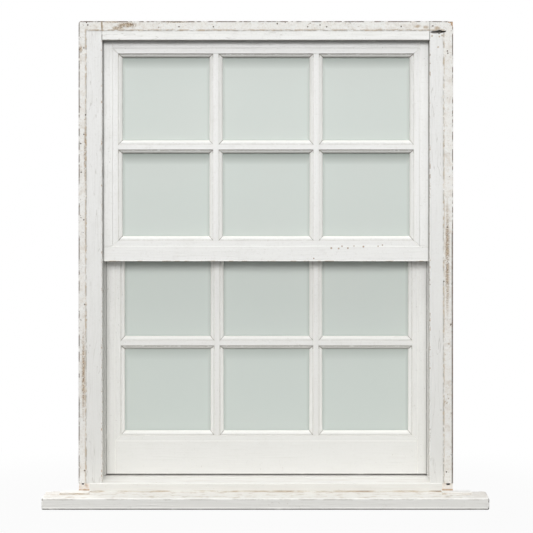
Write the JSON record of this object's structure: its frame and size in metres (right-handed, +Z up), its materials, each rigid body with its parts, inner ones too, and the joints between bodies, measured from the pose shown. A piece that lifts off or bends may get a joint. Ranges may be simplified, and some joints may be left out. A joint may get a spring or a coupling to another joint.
{
  "type": "sash window",
  "caption": "Vertical sliding sash window with small panes, in its timber frame with a projecting sill; both sashes slide on spiral spring balances.",
  "frame": {"origin": "underside of the sills, on the centre line, at the outer face of the outside linings", "axes": "+X to the right seen from outside, +Y into the room, +Z up"},
  "size_m": [1, 0.2, 1.1],
  "materials": {
    "frame_paint": "aged white gloss paint",
    "sash_paint": "white gloss paint",
    "sill_paint": "weathered white paint",
    "pane_glass": "frosted, faint green",
    "balance_tube": "white enamel",
    "balance_steel": "zinc plated",
    "nylon": "natural nylon",
    "screw_steel": "zinc plated",
    "brass_fittings": "polished, lacquered"
  },
  "bodies": {
    "frame": {"balance_plugs": "nylon", "balance_screws": "screw_steel", "balance_springs": "balance_steel", "head": "frame_paint", "head_inside_lining": "frame_paint", "head_outside_lining": "frame_paint", "head_parting_bead": "frame_paint", "head_staff_bead": "frame_paint", "left_inside_lining": "frame_paint", "left_jamb": "frame_paint", "left_outside_lining": "frame_paint", "left_parting_bead": "frame_paint", "left_staff_bead": "frame_paint", "lower_left_balance_tube": "balance_tube", "lower_right_balance_tube": "balance_tube", "right_inside_lining": "frame_paint", "right_jamb": "frame_paint", "right_outside_lining": "frame_paint", "right_parting_bead": "frame_paint", "right_staff_bead": "frame_paint", "sill": "sill_paint", "sill_staff_bead": "frame_paint", "sub_sill": "sill_paint", "upper_left_balance_tube": "balance_tube", "upper_right_balance_tube": "balance_tube"},
    "upper_sash": {"upper_balance_feet": "balance_steel", "upper_cross_bars": "sash_paint", "upper_glazing_beads": "sash_paint", "upper_left_balance_strip": "balance_steel", "upper_left_bar": "sash_paint", "upper_left_stile": "sash_paint", "upper_meeting_rail": "sash_paint", "upper_panes": "pane_glass", "upper_right_balance_strip": "balance_steel", "upper_right_bar": "sash_paint", "upper_right_stile": "sash_paint", "upper_top_rail": "sash_paint", "fastener_keeper": "brass_fittings"},
    "lower_sash": {"lower_balance_feet": "balance_steel", "lower_bottom_rail": "sash_paint", "lower_cross_bars": "sash_paint", "lower_glazing_beads": "sash_paint", "lower_left_balance_strip": "balance_steel", "lower_left_bar": "sash_paint", "lower_left_stile": "sash_paint", "lower_meeting_rail": "sash_paint", "lower_panes": "pane_glass", "lower_right_balance_strip": "balance_steel", "lower_right_bar": "sash_paint", "lower_right_stile": "sash_paint", "fastener_base": "brass_fittings", "sash_lifts": "brass_fittings"},
    "fastener_lever": {"fastener_lever": "brass_fittings"},
    "upper_left_balance_bush": {"upper_left_balance_bush": "nylon"},
    "upper_right_balance_bush": {"upper_right_balance_bush": "nylon"},
    "lower_left_balance_bush": {"lower_left_balance_bush": "nylon"},
    "lower_right_balance_bush": {"lower_right_balance_bush": "nylon"}
  },
  "joints": [
    {"name": "upper_sash_slide", "type": "slide", "parent": "frame", "child": "upper_sash", "axis": [0, 0, -1], "range_m": [0, 0.38]},
    {"name": "lower_sash_slide", "type": "slide", "parent": "frame", "child": "lower_sash", "axis": [0, 0, 1], "range_m": [0, 0.38]},
    {"name": "fastener_turn", "type": "hinge", "parent": "lower_sash", "child": "fastener_lever", "pos_m": [0, 0.092, 0.625], "axis": [0, 0, -1], "range_deg": [0, 90]},
    {"name": "upper_left_bush_spin", "type": "hinge", "parent": "frame", "child": "upper_left_balance_bush", "pos_m": [-0.3745, 0.043, 0.5], "axis": [0, 0, -1], "range_deg": [0, 1521]},
    {"name": "upper_right_bush_spin", "type": "hinge", "parent": "frame", "child": "upper_right_balance_bush", "pos_m": [0.3745, 0.043, 0.5], "axis": [0, 0, 1], "range_deg": [0, 1521]},
    {"name": "lower_left_bush_spin", "type": "hinge", "parent": "frame", "child": "lower_left_balance_bush", "pos_m": [-0.3745, 0.093, 0.5], "axis": [0, 0, 1], "range_deg": [0, 1521]},
    {"name": "lower_right_bush_spin", "type": "hinge", "parent": "frame", "child": "lower_right_balance_bush", "pos_m": [0.3745, 0.093, 0.5], "axis": [0, 0, -1], "range_deg": [0, 1521]}
  ],
  "couplings": [
    {"joint": "upper_left_bush_spin", "follows": "upper_sash_slide", "rad_per_m": 69.813},
    {"joint": "upper_right_bush_spin", "follows": "upper_sash_slide", "rad_per_m": 69.813},
    {"joint": "lower_left_bush_spin", "follows": "lower_sash_slide", "rad_per_m": 69.813},
    {"joint": "lower_right_bush_spin", "follows": "lower_sash_slide", "rad_per_m": 69.813}
  ]
}
